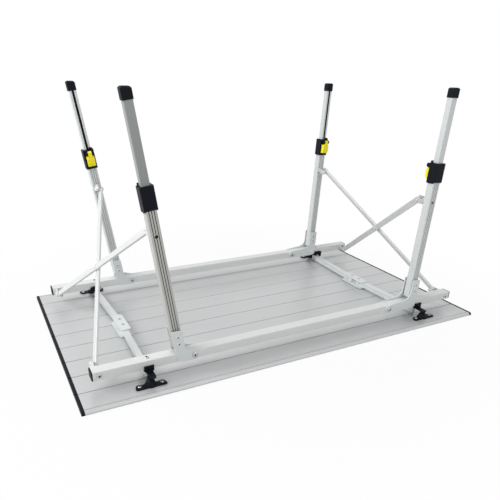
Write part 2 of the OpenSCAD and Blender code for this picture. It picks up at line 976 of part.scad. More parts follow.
// Clevis in its own frame: Y towards the middle of the table from the rail centre line.
module clevis(row, bolt_hole) {
    ear_y = brace_pin_inset;
    near = brace_gap - 0.1;
    difference() {
        union() {
            rod_y(10, clevis_start, clevis_start + clevis_base);
            translate([-clevis_half, clevis_start, -clevis_height / 2])
                cube([2 * clevis_half, clevis_base, clevis_height]);
            for (low = [-clevis_half, clevis_inner]) {
                translate([low, clevis_start + 1, -clevis_height / 2])
                    cube([clevis_wall, ear_y - clevis_start - 1, clevis_height]);
                translate([0, ear_y, 0])
                    rod_x(clevis_height / 2, low, low + clevis_wall);
            }
            translate([0, ear_y, 0]) {
                rod_x(brace_pin_radius, -clevis_half - 1, clevis_half + 1);
                spacer_low = row > 0 ? near : -clevis_inner - 0.2;
                spacer_high = row > 0 ? clevis_inner + 0.2 : -near;
                rod_x(4.5, spacer_low, spacer_high);
                for (end = [-1, 1])
                    translate([end * clevis_half, 0, 0])
                        rotate([0, 90 * end, 0])
                            scale(0.7) bolt_head(6.5);
            }
            if (!bolt_hole)
                translate([0, clevis_start + clevis_base - 0.1, 0])
                    rotate([-90, 0, 0]) bolt_head(5);
        }
        if (bolt_hole)
            rod_y(end_bolt_radius + run_gap, 0, ear_y - 12);
    }
}

module rail_clevis(side, row) {
    color(metal_light)
        in_plane(side)
            translate([0, row * rail_offset, 0])
                flip_y(row > 0) clevis(row, true);
}

// The leg clevis at the far end of the brace that starts at the given rail row.
module leg_clevis(side, row) {
    color(metal_light)
        in_plane(side)
            translate([0, -row * rail_offset, plane_height(side)])
                flip_y(row < 0) clevis(row, false);
}

module brace(side, row) {
    length = brace_length(side);
    slope = row < 0 ? brace_slope(side) : 180 - brace_slope(side);
    half = brace_thickness / 2;
    rivet_side = -row;
    color(metal_light)
        in_plane(side)
            translate([brace_shift(row), row * brace_pin_row, 0])
                rotate([slope, 0, 0])
                    difference() {
                        union() {
                            translate([0, length, 0])
                                rotate([90, 0, 0])
                                    linear_extrude(length)
                                        bevelled(brace_thickness, brace_width, 1);
                            for (end = [0, length])
                                translate([0, end, 0])
                                    rod_x(brace_width / 2 - 0.01, -half, half);
                            translate([rivet_side * half, length / 2, 0])
                                rotate([0, 90 * rivet_side, 0])
                                    scale(0.8) bolt_head(6);
                        }
                        for (end = [0, length])
                            translate([0, end, 0])
                                rod_x(brace_pin_radius + run_gap, -half - 1, half + 1);
                    }
}

// Nodes

slat_front();
slats_middle();
slat_rear();
slat_caps_left();
slat_caps_right();
stud_bases();
base_screws();
rail_rear();
rail_caps_rear();
saddles_rear();
rail_bolts_rear();
rail_front();
rail_caps_front();
saddles_front();
rail_bolts_front();
half_bar_left_rear();
hinge_plates_left();
hinge_rivets_left();
half_bar_left_front();
half_bar_right_rear();
hinge_plates_right();
hinge_rivets_right();
half_bar_right_front();
bracket(-1, 1);  // bracket_left_rear
outer_tube(-1, 1);  // outer_tube_left_rear
collar(-1, 1);  // collar_left_rear
inner_tube(-1, 1);  // inner_tube_left_rear
foot(-1, 1);  // foot_left_rear
lever(-1, 1);  // lever_left_rear
bracket(-1, -1);  // bracket_left_front
outer_tube(-1, -1);  // outer_tube_left_front
collar(-1, -1);  // collar_left_front
inner_tube(-1, -1);  // inner_tube_left_front
foot(-1, -1);  // foot_left_front
lever(-1, -1);  // lever_left_front
bracket(1, 1);  // bracket_right_rear
outer_tube(1, 1);  // outer_tube_right_rear
collar(1, 1);  // collar_right_rear
inner_tube(1, 1);  // inner_tube_right_rear
foot(1, 1);  // foot_right_rear
lever(1, 1);  // lever_right_rear
bracket(1, -1);  // bracket_right_front
outer_tube(1, -1);  // outer_tube_right_front
collar(1, -1);  // collar_right_front
inner_tube(1, -1);  // inner_tube_right_front
foot(1, -1);  // foot_right_front
lever(1, -1);  // lever_right_front
rail_clevis(-1, 1);  // rail_clevis_left_rear
brace(-1, 1);  // brace_left_rear
leg_clevis(-1, 1);  // leg_clevis_left_rear
rail_clevis(-1, -1);  // rail_clevis_left_front
brace(-1, -1);  // brace_left_front
leg_clevis(-1, -1);  // leg_clevis_left_front
rail_clevis(1, 1);  // rail_clevis_right_rear
brace(1, 1);  // brace_right_rear
leg_clevis(1, 1);  // leg_clevis_right_rear
rail_clevis(1, -1);  // rail_clevis_right_front
brace(1, -1);  // brace_right_front
leg_clevis(1, -1);  // leg_clevis_right_front
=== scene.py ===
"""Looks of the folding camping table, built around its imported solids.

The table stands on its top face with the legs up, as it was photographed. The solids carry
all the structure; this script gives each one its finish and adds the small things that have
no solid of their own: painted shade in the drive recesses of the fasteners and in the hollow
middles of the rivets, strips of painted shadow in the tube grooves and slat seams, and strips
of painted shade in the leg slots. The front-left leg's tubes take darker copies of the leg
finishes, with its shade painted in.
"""

import logging
import math
from dataclasses import dataclass, field
from enum import Enum
from typing import Callable, Dict, Iterable, List, Sequence, Tuple, Union

import bmesh
import bpy
from mathutils import Matrix, Vector


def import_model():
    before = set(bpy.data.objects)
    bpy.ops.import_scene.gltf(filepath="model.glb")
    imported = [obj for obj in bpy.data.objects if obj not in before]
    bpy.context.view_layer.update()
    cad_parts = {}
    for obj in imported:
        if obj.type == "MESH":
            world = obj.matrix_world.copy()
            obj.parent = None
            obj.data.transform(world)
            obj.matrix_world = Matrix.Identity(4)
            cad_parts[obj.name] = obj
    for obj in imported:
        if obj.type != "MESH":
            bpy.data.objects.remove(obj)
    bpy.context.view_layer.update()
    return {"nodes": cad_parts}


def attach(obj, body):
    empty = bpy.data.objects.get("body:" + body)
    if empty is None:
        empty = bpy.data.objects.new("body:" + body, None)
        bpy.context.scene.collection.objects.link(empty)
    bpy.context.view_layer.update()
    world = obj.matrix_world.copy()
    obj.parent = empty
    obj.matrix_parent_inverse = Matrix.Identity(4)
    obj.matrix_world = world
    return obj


LOG = logging.getLogger("camping_table")

Vec3 = Tuple[float, float, float]
Colour = Tuple[float, float, float, float]
Place = Tuple[Vec3, Vec3]
NodeTree = bpy.types.NodeTree
Socket = bpy.types.NodeSocket
SocketOrValue = Union[Socket, float, Colour]
RidingPiece = Tuple[bpy.types.Object, str]

WHITE: Colour = (1.0, 1.0, 1.0, 1.0)
EVEN: Vec3 = (1.0, 1.0, 1.0)
UP: Vec3 = (0.0, 0.0, 1.0)


class Side(Enum):
    """End of the table that a leg or brace stands at."""

    LEFT = -1
    RIGHT = 1

    @property
    def word(self) -> str:
        """The side's name as it is used in node and body names."""
        return self.name.lower()


class Row(Enum):
    """Long edge of the table that a leg or rail stands at."""

    FRONT = -1
    REAR = 1

    @property
    def word(self) -> str:
        """The row's name as it is used in node and body names."""
        return self.name.lower()


class GrainAxis(Enum):
    """Direction along which an extruded or drawn piece carries its fine lines."""

    ALONG_X = (0.02, 1.0, 1.0)
    ALONG_Y = (1.0, 0.02, 1.0)
    ALONG_Z = (1.0, 1.0, 0.02)
    NONE = (1.0, 1.0, 1.0)


@dataclass(frozen=True)
class FrameSizes:
    """Sizes repeated from the part's source, in metres unless the name says degrees."""

    rail_offset: float = 0.270
    rail_level: float = 0.054
    rail_half_width: float = 0.015
    rail_half_height: float = 0.0115
    leg_pivot: float = 0.314
    brace_bolt: float = 0.549
    bar_pivot: float = 0.432
    foot_level: float = 0.655
    left_offset: float = 0.0344
    left_lean_deg: float = 8.4
    right_offset: float = 0.0898
    right_lean_deg: float = 2.3
    cheek_outer: float = 0.0183
    rear_push: float = 0.007
    outer_start: float = 0.196
    outer_end: float = 0.580

    def offset(self, side: Side) -> float:
        """Outboard offset of a leg at its pivot height."""
        return self.left_offset if side is Side.LEFT else self.right_offset

    def lean(self, side: Side) -> float:
        """Outward lean of a leg, in radians."""
        return math.radians(self.left_lean_deg if side is Side.LEFT else self.right_lean_deg)

    def push(self, row: Row) -> float:
        """How far a row's inner legs stand pushed in."""
        return self.rear_push if row is Row.REAR else 0.0

    def leg_matrix(self, side: Side, row: Row) -> Matrix:
        """Place of a leg's own frame in the row frame.

        Args:
            side: End of the table.
            row: Long edge of the table.

        Returns:
            A matrix from leg space, with Z along the leg and zero at the sole, X outboard
            and Y towards the outer face, to the row frame. It mirrors where the leg does.
        """
        lean = self.lean(side)
        reach = (self.foot_level - self.rail_level) / math.cos(lean)
        pivot = Matrix.Translation(
            (side.value * self.leg_pivot, row.value * self.rail_offset, self.rail_level)
        )
        flip = Matrix.Diagonal((side.value, row.value, 1.0, 1.0))
        local = (
            Matrix.Translation((self.offset(side), 0.0, 0.0))
            @ Matrix.Rotation(lean, 4, "Y")
            @ Matrix.Translation((0.0, 0.0, reach))
        )
        return pivot @ flip @ local


SIZES = FrameSizes()


# Shader helpers


def new_tree_group(
    name: str,
    inputs: Sequence[Tuple[str, str]],
    outputs: Sequence[Tuple[str, str]],
) -> NodeTree:
    """Start a shader node group.

    Args:
        name: Name of the group.
        inputs: Name and socket type of each input.
        outputs: Name and socket type of each output.

    Returns:
        The empty group with its interface made.
    """
    group = bpy.data.node_groups.new(name, "ShaderNodeTree")
    for label, kind in inputs:
        group.interface.new_socket(name=label, in_out="INPUT", socket_type=kind)
    for label, kind in outputs:
        group.interface.new_socket(name=label, in_out="OUTPUT", socket_type=kind)
    return group


def link(tree: NodeTree, source: Socket, target: Socket) -> None:
    """Join two sockets."""
    tree.links.new(source, target)


def math_node(
    tree: NodeTree, operation: str, first: SocketOrValue, second: SocketOrValue
) -> Socket:
    """Add a Math node.

    Args:
        tree: Tree to add it to.
        operation: Blender's name for the operation.
        first: A socket or a number.
        second: A socket or a number.

    Returns:
        The node's result socket.
    """
    node = tree.nodes.new("ShaderNodeMath")
    node.operation = operation
    for index, value in enumerate((first, second)):
        if isinstance(value, Socket):
            link(tree, value, node.inputs[index])
        else:
            node.inputs[index].default_value = float(value)
    return node.outputs[0]


def mix_colour(
    tree: NodeTree, factor: SocketOrValue, first: SocketOrValue, second: SocketOrValue
) -> Socket:
    """Add a colour Mix node.

    Args:
        tree: Tree to add it to.
        factor: A socket or a number.
        first: A socket or an RGBA colour.
        second: A socket or an RGBA colour.

    Returns:
        The node's colour result.
    """
    node = tree.nodes.new("ShaderNodeMix")
    node.data_type = "RGBA"
    slots = (node.inputs[0], node.inputs[6], node.inputs[7])
    for slot, value in zip(slots, (factor, first, second)):
        if isinstance(value, Socket):
            link(tree, value, slot)
        else:
            slot.default_value = value
    return node.outputs[2]


def noise(tree: NodeTree, vector: Socket, scale: float, detail: float) -> Socket:
    """Add a Noise texture and return its value output."""
    node = tree.nodes.new("ShaderNodeTexNoise")
    node.inputs["Scale"].default_value = scale
    node.inputs["Detail"].default_value = detail
    link(tree, vector, node.inputs["Vector"])
    return node.outputs[0]


def spread_mask(tree: NodeTree, value: Socket, low: float, high: float) -> Socket:
    """Stretch the part of a value between two levels to the range from zero to one."""
    node = tree.nodes.new("ShaderNodeMapRange")
    node.inputs["From Min"].default_value = low
    node.inputs["From Max"].default_value = high
    link(tree, value, node.inputs["Value"])
    return node.outputs[0]


@dataclass(frozen=True)
class GrainPattern:
    """The drawn-metal grain: fine lines along one axis and slow blotches."""

    fine_scale: float = 900.0
    coarse_scale: float = 220.0
    line_detail: float = 2.0
    blotch_scale: float = 14.0
    blotch_detail: float = 3.0
    line_middle: float = 1.0
    blotch_middle: float = 0.5

    def build(self) -> NodeTree:
        """Build the node group.

        Returns:
            A group that puts out a tone around one, a height and a roughness change.
        """
        group = new_tree_group(
            "drawn_metal_grain",
            [
                ("Vector", "NodeSocketVector"),
                ("Line Strength", "NodeSocketFloat"),
                ("Blotch Strength", "NodeSocketFloat"),
            ],
            [
                ("Tone", "NodeSocketFloat"),
                ("Height", "NodeSocketFloat"),
                ("Roughness Change", "NodeSocketFloat"),
            ],
        )
        start = group.nodes.new("NodeGroupInput")
        end = group.nodes.new("NodeGroupOutput")
        vector = start.outputs["Vector"]
        fine = noise(group, vector, self.fine_scale, self.line_detail)
        coarse = noise(group, vector, self.coarse_scale, self.line_detail)
        blotch = noise(group, vector, self.blotch_scale, self.blotch_detail)
        lines = math_node(group, "ADD", fine, coarse)
        line_swing = math_node(group, "SUBTRACT", lines, self.line_middle)
        line_part = math_node(group, "MULTIPLY", line_swing, start.outputs["Line Strength"])
        blotch_swing = math_node(group, "SUBTRACT", blotch, self.blotch_middle)
        blotch_part = math_node(group, "MULTIPLY", blotch_swing, start.outputs["Blotch Strength"])
        both = math_node(group, "ADD", line_part, blotch_part)
        link(group, math_node(group, "ADD", both, 1.0), end.inputs["Tone"])
        link(group, lines, end.inputs["Height"])
        link(group, both, end.inputs["Roughness Change"])
        return group


@dataclass(frozen=True)
class WearPattern:
    """The handling marks: sparse small scuffs and a little dust."""

    scuff_scale: float = 160.0
    scuff_detail: float = 4.0
    patch_scale: float = 9.0
    patch_detail: float = 2.0
    scuff_levels: Tuple[float, float] = (0.36, 0.44)
    dust_scale: float = 42.0
    dust_detail: float = 5.0
    dust_levels: Tuple[float, float] = (0.45, 0.8)

    def build(self) -> NodeTree:
        """Build the node group.

        Returns:
            A group that puts out a scuff mask and a dust mask.
        """
        group = new_tree_group(
            "handling_marks",
            [("Vector", "NodeSocketVector"), ("Amount", "NodeSocketFloat")],
            [("Scuff Mask", "NodeSocketFloat"), ("Dust Mask", "NodeSocketFloat")],
        )
        start = group.nodes.new("NodeGroupInput")
        end = group.nodes.new("NodeGroupOutput")
        vector = start.outputs["Vector"]
        amount = start.outputs["Amount"]
        marks = noise(group, vector, self.scuff_scale, self.scuff_detail)
        patches = noise(group, vector, self.patch_scale, self.patch_detail)
        sparse = math_node(group, "MULTIPLY", marks, patches)
        scuffs = spread_mask(group, sparse, *self.scuff_levels)
        link(group, math_node(group, "MULTIPLY", scuffs, amount), end.inputs["Scuff Mask"])
        dust = noise(group, vector, self.dust_scale, self.dust_detail)
        dusty = spread_mask(group, dust, *self.dust_levels)
        link(group, math_node(group, "MULTIPLY", dusty, amount), end.inputs["Dust Mask"])
        return group


def object_vector(tree: NodeTree, scale: Vec3) -> Socket:
    """Object coordinates through a Mapping node with its own scale."""
    coords = tree.nodes.new("ShaderNodeTexCoord")
    mapping = tree.nodes.new("ShaderNodeMapping")
    mapping.inputs["Scale"].default_value = scale
    link(tree, coords.outputs["Object"], mapping.inputs["Vector"])
    return mapping.outputs["Vector"]


def add_group(
    tree: NodeTree, group: NodeTree, vector: Socket, strengths: Dict[str, float]
) -> bpy.types.Node:
    """Add a shader group and set its strengths.

    Args:
        tree: Tree to add it to.
        group: The node group.
        vector: Coordinates for its textures.
        strengths: Value of each of its other inputs.

    Returns:
        The group node.
    """
    node = tree.nodes.new("ShaderNodeGroup")
    node.node_tree = group
    for label, value in strengths.items():
        node.inputs[label].default_value = value
    link(tree, vector, node.inputs["Vector"])
    return node


def add_bump(tree: NodeTree, height: Socket, strength: float, distance: float) -> Socket:
    """Add a Bump node and return its normal."""
    node = tree.nodes.new("ShaderNodeBump")
    node.inputs["Strength"].default_value = strength
    node.inputs["Distance"].default_value = distance
    link(tree, height, node.inputs["Height"])
    return node.outputs["Normal"]


@dataclass(frozen=True)
class MetalFinish:
    """A satin metal: anodised extrusion, powder coat or zinc plate."""

    name: str
    colour: Colour
    roughness: float
    metallic: float
    axis: GrainAxis = GrainAxis.NONE
    line_strength: float = 0.05
    blotch_strength: float = 0.05
    bump: float = 0.02
    bump_distance: float = 0.0004
    marks: float = 0.15
    mark_colour: Colour = (0.30, 0.30, 0.30, 1.0)
    mark_roughness: float = 0.2
    dust_colour: Colour = (0.62, 0.61, 0.58, 1.0)
    dust_share: float = 0.25

    def build(self, grain: NodeTree, wear: NodeTree) -> bpy.types.Material:
        """Make the material.

        Args:
            grain: The drawn-metal grain group.
            wear: The handling marks group.

        Returns:
            The finished material.
        """
        material = bpy.data.materials.new(self.name)
        material.use_nodes = True
        tree = material.node_tree
        shader = tree.nodes["Principled BSDF"]
        shader.inputs["Metallic"].default_value = self.metallic
        strengths = {"Line Strength": self.line_strength, "Blotch Strength": self.blotch_strength}
        lined = add_group(tree, grain, object_vector(tree, self.axis.value), strengths)
        worn = add_group(tree, wear, object_vector(tree, EVEN), {"Amount": self.marks})
        scuff = worn.outputs["Scuff Mask"]
        toned = tree.nodes.new("ShaderNodeVectorMath")
        toned.operation = "SCALE"
        toned.inputs[0].default_value = self.colour[:3]
        link(tree, lined.outputs["Tone"], toned.inputs["Scale"])
        scuffed = mix_colour(tree, scuff, toned.outputs[0], self.mark_colour)
        dust = math_node(tree, "MULTIPLY", worn.outputs["Dust Mask"], self.dust_share)
        link(tree, mix_colour(tree, dust, scuffed, self.dust_colour), shader.inputs["Base Color"])
        rough = math_node(tree, "ADD", lined.outputs["Roughness Change"], self.roughness)
        duller = math_node(tree, "MULTIPLY", scuff, self.mark_roughness)
        link(tree, math_node(tree, "ADD", rough, duller), shader.inputs["Roughness"])
        normal = add_bump(tree, lined.outputs["Height"], self.bump, self.bump_distance)
        link(tree, normal, shader.inputs["Normal"])
        return material


@dataclass(frozen=True)
class PlasticFinish:
    """A moulded plastic with a fine spark-eroded texture."""

    name: str
    colour: Colour
    pale_colour: Colour
    roughness: float
    texture_scale: float = 1400.0
    texture_detail: float = 2.0
    texture_roughness: float = 0.12
    tint_scale: float = 25.0
    tint_detail: float = 3.0
    tint_share: float = 0.6
    bump: float = 0.12
    bump_distance: float = 0.0003
    marks: float = 0.25
    dust_share: float = 0.3
    specular: float = 0.10

    def build(self, _grain: NodeTree, wear: NodeTree) -> bpy.types.Material:
        """Make the material.

        Args:
            _grain: The drawn-metal grain group, which plastics leave out.
            wear: The handling marks group.

        Returns:
            The finished material.
        """
        material = bpy.data.materials.new(self.name)
        material.use_nodes = True
        tree = material.node_tree
        shader = tree.nodes["Principled BSDF"]
        shader.inputs["Specular IOR Level"].default_value = self.specular
        vector = object_vector(tree, EVEN)
        worn = add_group(tree, wear, vector, {"Amount": self.marks})
        fine = noise(tree, vector, self.texture_scale, self.texture_detail)
        slow = noise(tree, vector, self.tint_scale, self.tint_detail)
        blend = math_node(tree, "MULTIPLY", slow, self.tint_share)
        toned = mix_colour(tree, blend, self.colour, self.pale_colour)
        dust = math_node(tree, "MULTIPLY", worn.outputs["Dust Mask"], self.dust_share)
        link(tree, mix_colour(tree, dust, toned, self.pale_colour), shader.inputs["Base Color"])
        swing = math_node(tree, "MULTIPLY", fine, self.texture_roughness)
        link(tree, math_node(tree, "ADD", swing, self.roughness), shader.inputs["Roughness"])
        normal = add_bump(tree, fine, self.bump, self.bump_distance)
        link(tree, normal, shader.inputs["Normal"])
        return material


Finish = Union[MetalFinish, PlasticFinish]

SLAT_METAL = MetalFinish(
    "slat_anodised", (0.57, 0.58, 0.585, 1.0), roughness=0.34, metallic=0.32,
    axis=GrainAxis.ALONG_X, line_strength=0.10, blotch_strength=0.05, bump=0.05, marks=0.10,
)
RAIL_METAL = MetalFinish(
    "rail_anodised", (0.73, 0.75, 0.74, 1.0), roughness=0.42, metallic=0.12,
    axis=GrainAxis.ALONG_X, line_strength=0.06, blotch_strength=0.04, bump=0.04, marks=0.08,
)
BAR_METAL = MetalFinish(
    "bar_anodised", (0.70, 0.72, 0.725, 1.0), roughness=0.36, metallic=0.25,
    axis=GrainAxis.ALONG_Y, line_strength=0.08, blotch_strength=0.05, bump=0.04, marks=0.12,
)
LEG_METAL = MetalFinish(
    "leg_anodised", (0.64, 0.665, 0.66, 1.0), roughness=0.42, metallic=0.15,
    axis=GrainAxis.ALONG_Z, line_strength=0.06, blotch_strength=0.05, bump=0.04, marks=0.10,
)
# Darker copies of the leg finishes for the front-left leg. The shade that falls on that leg is
# painted into their colour.
SHADED_LEG_METAL = MetalFinish(
    "leg_anodised_warm", (0.50, 0.50, 0.475, 1.0), roughness=0.42, metallic=0.15,
    axis=GrainAxis.ALONG_Z, line_strength=0.08, blotch_strength=0.05, bump=0.04, marks=0.12,
)
INNER_METAL = MetalFinish(
    "inner_leg_anodised", (0.64, 0.665, 0.665, 1.0), roughness=0.38, metallic=0.18,
    axis=GrainAxis.ALONG_Z, line_strength=0.06, blotch_strength=0.05, bump=0.04, marks=0.08,
)
SHADED_INNER_METAL = MetalFinish(
    "inner_leg_anodised_grey", (0.29, 0.31, 0.30, 1.0), roughness=0.36, metallic=0.18,
    axis=GrainAxis.ALONG_Z, line_strength=0.08, blotch_strength=0.05, bump=0.04, marks=0.10,
)
BRACKET_COAT = MetalFinish(
    "bracket_silver_coat", (0.70, 0.735, 0.74, 1.0), roughness=0.45, metallic=0.10,
    axis=GrainAxis.NONE, line_strength=0.02, blotch_strength=0.04, bump=0.02, marks=0.06,
)
BRACE_METAL = MetalFinish(
    "brace_bright", (0.66, 0.67, 0.67, 1.0), roughness=0.40, metallic=0.20,
    axis=GrainAxis.NONE, line_strength=0.02, blotch_strength=0.05, bump=0.02, marks=0.06,
)
FASTENER_ZINC = MetalFinish(
    "fastener_zinc", (0.50, 0.51, 0.52, 1.0), roughness=0.30, metallic=0.70,
    axis=GrainAxis.NONE, line_strength=0.08, blotch_strength=0.10, bump=0.05, marks=0.25,
)
BLACK_PLASTIC = PlasticFinish(
    "black_moulding", (0.003, 0.0045, 0.008, 1.0), (0.009, 0.012, 0.018, 1.0),
    roughness=0.42,
)
FOOT_PLASTIC = PlasticFinish(
    "foot_moulding", (0.003, 0.005, 0.008, 1.0), (0.010, 0.012, 0.017, 1.0),
    roughness=0.48,
)
YELLOW_PLASTIC = PlasticFinish(
    "lever_yellow", (0.99, 0.83, 0.004, 1.0), (1.0, 0.90, 0.02, 1.0),
    roughness=0.34, bump=0.06, marks=0.1, specular=0.5,
)
# Painted shade: near-black standing for the shade inside the fastener recesses, rivet hollows,
# slat seams and leg slots.
PAINTED_RECESS_SHADE = PlasticFinish(
    "recess_shadow", (0.004, 0.004, 0.005, 1.0), (0.010, 0.010, 0.011, 1.0),
    roughness=0.7,
)
GROOVE_SHADE = PlasticFinish(
    "groove_shadow", (0.040, 0.040, 0.036, 1.0), (0.08, 0.08, 0.07, 1.0),
    roughness=0.7,
)
GROOVE_SOFT = PlasticFinish(
    "groove_shadow_soft", (0.36, 0.37, 0.37, 1.0), (0.42, 0.43, 0.43, 1.0),
    roughness=0.6,
)


@dataclass
class FinishRoom:
    """Builds every finish once and hands the materials out by name."""

    made: Dict[str, bpy.types.Material] = field(default_factory=dict)

    def fill(self) -> None:
        """Build the node groups and all materials."""
        grain = GrainPattern().build()
        wear = WearPattern().build()
        for finish in (
            SLAT_METAL,
            RAIL_METAL,
            BAR_METAL,
            LEG_METAL,
            INNER_METAL,
            BRACKET_COAT,
            FASTENER_ZINC,
            BLACK_PLASTIC,
            FOOT_PLASTIC,
            YELLOW_PLASTIC,
            PAINTED_RECESS_SHADE,
            GROOVE_SHADE,
            GROOVE_SOFT,
            SHADED_LEG_METAL,
            SHADED_INNER_METAL,
            BRACE_METAL,
        ):
            self.made[finish.name] = finish.build(grain, wear)

    def of(self, finish: Finish) -> bpy.types.Material:
        """The material of a finish."""
        return self.made[finish.name]

    def dress(self, node: bpy.types.Object, finish: Finish) -> None:
        """Give a carried-over solid its finish."""
        material = self.of(finish)
        if not node.material_slots:
            node.data.materials.append(material)
        for slot in node.material_slots:
            slot.material = material


# Mesh helpers


def mesh_object(
    name: str,
    build: Callable[[bmesh.types.BMesh], None],
    place: Matrix,
    material: bpy.types.Material,
) -> bpy.types.Object:
    """Make a piece whose place is in its mesh.

    Args:
        name: Name of the piece.
        build: Fills a bmesh in the piece's own space, in metres.
        place: From the piece's own space to the row frame.
        material: Finish of the piece.

    Returns:
        The new object, linked to the scene.
    """
    shape = bmesh.new()
    build(shape)
    shape.transform(place)
    bmesh.ops.recalc_face_normals(shape, faces=shape.faces)
    mesh = bpy.data.meshes.new(name)
    shape.to_mesh(mesh)
    shape.free()
    mesh.materials.append(material)
    piece = bpy.data.objects.new(name, mesh)
    bpy.context.scene.collection.objects.link(piece)
    return piece


def add_box(shape: bmesh.types.BMesh, low: Vec3, high: Vec3, bevel: float) -> None:
    """Add a box with bevelled edges.

    Args:
        shape: Mesh to add to.
        low: Lowest corner.
        high: Highest corner.
        bevel: Width of the bevel.
    """
    made = bmesh.ops.create_cube(shape, size=1.0)
    size = Vector(high) - Vector(low)
    centre = (Vector(high) + Vector(low)) / 2
    for vert in made["verts"]:
        x, y, z = vert.co
        vert.co = Vector((x * size.x, y * size.y, z * size.z)) + centre
    edges = list({edge for vert in made["verts"] for edge in vert.link_edges})
    bmesh.ops.bevel(shape, geom=edges, offset=bevel, segments=2, affect="EDGES", profile=0.6)


# Geometry Nodes for repeated small things


# Half an edge of the squares that mark where the repeated prisms go.
MARK_SIZE = 0.00002


def add_tree_sockets(tree: NodeTree, inputs: Sequence[Tuple[str, str]]) -> None:
    """Give a Geometry Nodes tree its geometry sockets and its named inputs."""
    tree.interface.new_socket(name="Geometry", in_out="INPUT", socket_type="NodeSocketGeometry")
    for label, kind in inputs:
        tree.interface.new_socket(name=label, in_out="INPUT", socket_type=kind)
    tree.interface.new_socket(name="Geometry", in_out="OUTPUT", socket_type="NodeSocketGeometry")


def finish_tree(tree: NodeTree, shapes: Socket, material: bpy.types.Material) -> None:
    """Make the shapes real, paint them and send them to the tree's output."""
    solid = tree.nodes.new("GeometryNodeRealizeInstances")
    link(tree, shapes, solid.inputs["Geometry"])
    paint = tree.nodes.new("GeometryNodeSetMaterial")
    paint.inputs["Material"].default_value = material
    link(tree, solid.outputs["Geometry"], paint.inputs["Geometry"])
    end = tree.nodes.new("NodeGroupOutput")
    link(tree, paint.outputs["Geometry"], end.inputs["Geometry"])


def repeat_tree(name: str, material: bpy.types.Material) -> NodeTree:
    """Build a tree that sets a small prism on every face of its input mesh.

    The faces' normals give the direction of the prism's own Z.

    Args:
        name: Name of the tree.
        material: Finish of the repeated prism.

    Returns:
        A Geometry Nodes tree with inputs for sides, radius and height.
    """
    tree = bpy.data.node_groups.new(name, "GeometryNodeTree")
    add_tree_sockets(
        tree,
        [("Sides", "NodeSocketInt"), ("Radius", "NodeSocketFloat"), ("Height", "NodeSocketFloat")],
    )
    nodes = tree.nodes
    start = nodes.new("NodeGroupInput")
    prism = nodes.new("GeometryNodeMeshCylinder")
    link(tree, start.outputs["Sides"], prism.inputs["Vertices"])
    link(tree, start.outputs["Radius"], prism.inputs["Radius"])
    link(tree, start.outputs["Height"], prism.inputs["Depth"])
    normal = nodes.new("GeometryNodeInputNormal")
    store = nodes.new("GeometryNodeCaptureAttribute")
    store.domain = "FACE"
    store.capture_items.new("VECTOR", "Facing")
    link(tree, start.outputs["Geometry"], store.inputs["Geometry"])
    link(tree, normal.outputs[0], store.inputs["Facing"])
    points = nodes.new("GeometryNodeMeshToPoints")
    points.mode = "FACES"
    link(tree, store.outputs["Geometry"], points.inputs["Mesh"])
    turn = nodes.new("FunctionNodeAlignRotationToVector")
    turn.axis = "Z"
    link(tree, store.outputs["Facing"], turn.inputs["Vector"])
    spread = nodes.new("GeometryNodeInstanceOnPoints")
    link(tree, points.outputs["Points"], spread.inputs["Points"])
    link(tree, prism.outputs["Mesh"], spread.inputs["Instance"])
    link(tree, turn.outputs[0], spread.inputs["Rotation"])
    finish_tree(tree, spread.outputs["Instances"], material)
    return tree


def carrier_mesh(name: str, places: Sequence[Place]) -> bpy.types.Object:
    """Make a mesh with one tiny square for each place, facing its direction.

    Args:
        name: Name of the carrier.
        places: Centre and direction of each repeated shape.

    Returns:
        The carrier object.
    """
    shape = bmesh.new()
    for centre, direction in places:
        face = Vector(direction).to_track_quat("Z", "Y").to_matrix().to_4x4()
        move = Matrix.Translation(centre) @ face
        bmesh.ops.create_grid(shape, x_segments=1, y_segments=1, size=MARK_SIZE, matrix=move)
    mesh = bpy.data.meshes.new(name)
    shape.to_mesh(mesh)
    shape.free()
    carrier = bpy.data.objects.new(name, mesh)
    bpy.context.scene.collection.objects.link(carrier)
    return carrier


def set_inputs(modifier: bpy.types.NodesModifier, settings: Dict[str, object]) -> None:
    """Set the named inputs of a Geometry Nodes modifier."""
    for item in modifier.node_group.interface.items_tree:
        if item.in_out == "INPUT" and item.name in settings:
            modifier[item.identifier] = settings[item.name]


@dataclass
class Repeater:
    """Sets a small prism at many places of one body and makes a plain mesh of them."""

    name: str
    material: bpy.types.Material
    sides: int
    radius: float
    height: float

    def make(self, piece_name: str, places: Sequence[Place]) -> bpy.types.Object:
        """Build the repeated shapes for one body.

        Args:
            piece_name: Name of the finished piece.
            places: Centre and direction of each shape.

        Returns:
            A plain mesh object with no modifier.
        """
        tree = bpy.data.node_groups.get(self.name)
        if tree is None:
            tree = repeat_tree(self.name, self.material)
        carrier = carrier_mesh(piece_name + "_points", places)
        modifier = carrier.modifiers.new("repeat", "NODES")
        modifier.node_group = tree
        settings = {"Sides": self.sides, "Radius": self.radius, "Height": self.height}
        set_inputs(modifier, settings)
        piece = plain_piece(piece_name, carrier)
        bpy.data.objects.remove(carrier)
        return piece


def plain_piece(piece_name: str, carrier: bpy.types.Object) -> bpy.types.Object:
    """Make a plain mesh object from what a carrier's node tree gives.

    Args:
        piece_name: Name of the finished piece.
        carrier: Object with the node tree as its modifier.

    Returns:
        A mesh object with no modifier and its faces pointing outwards.
    """
    depsgraph = bpy.context.evaluated_depsgraph_get()
    depsgraph.update()
    mesh = bpy.data.meshes.new_from_object(carrier.evaluated_get(depsgraph))
    mesh.name = piece_name
    shape = bmesh.new()
    shape.from_mesh(mesh)
    bmesh.ops.recalc_face_normals(shape, faces=shape.faces)
    shape.to_mesh(mesh)
    shape.free()
    piece = bpy.data.objects.new(piece_name, mesh)
    bpy.context.scene.collection.objects.link(piece)
    return piece


